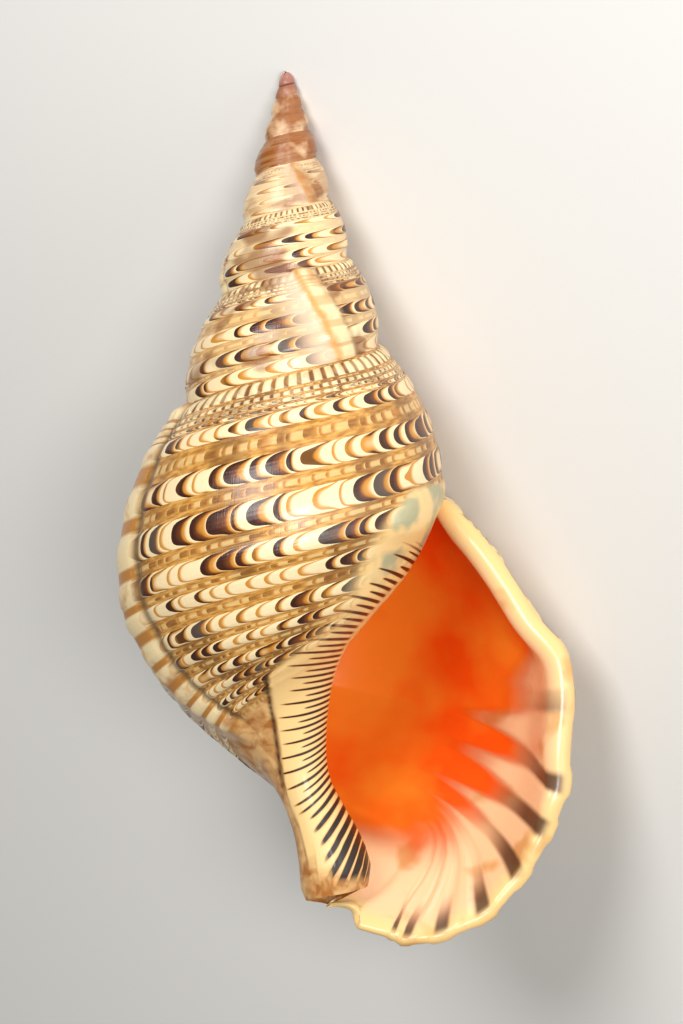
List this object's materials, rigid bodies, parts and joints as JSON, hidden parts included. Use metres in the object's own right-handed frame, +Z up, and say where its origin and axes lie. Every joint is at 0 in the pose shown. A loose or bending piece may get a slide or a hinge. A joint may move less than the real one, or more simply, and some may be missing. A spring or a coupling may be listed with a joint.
{
  "type": "triton shell",
  "caption": "Giant triton sea shell lying on its back: tall ribbed spire, round body whorl and a wide flared aperture.",
  "frame": {"origin": "middle of the footprint, on the surface that the shell lies on", "axes": "+Z up, +Y towards the tip of the spire, the aperture facing up and to +X"},
  "size_m": [0.1606, 0.3394, 0.1359],
  "materials": {
    "shell": "glossy"
  },
  "bodies": {
    "root": {"shell": "shell"}
  },
  "joints": []
}
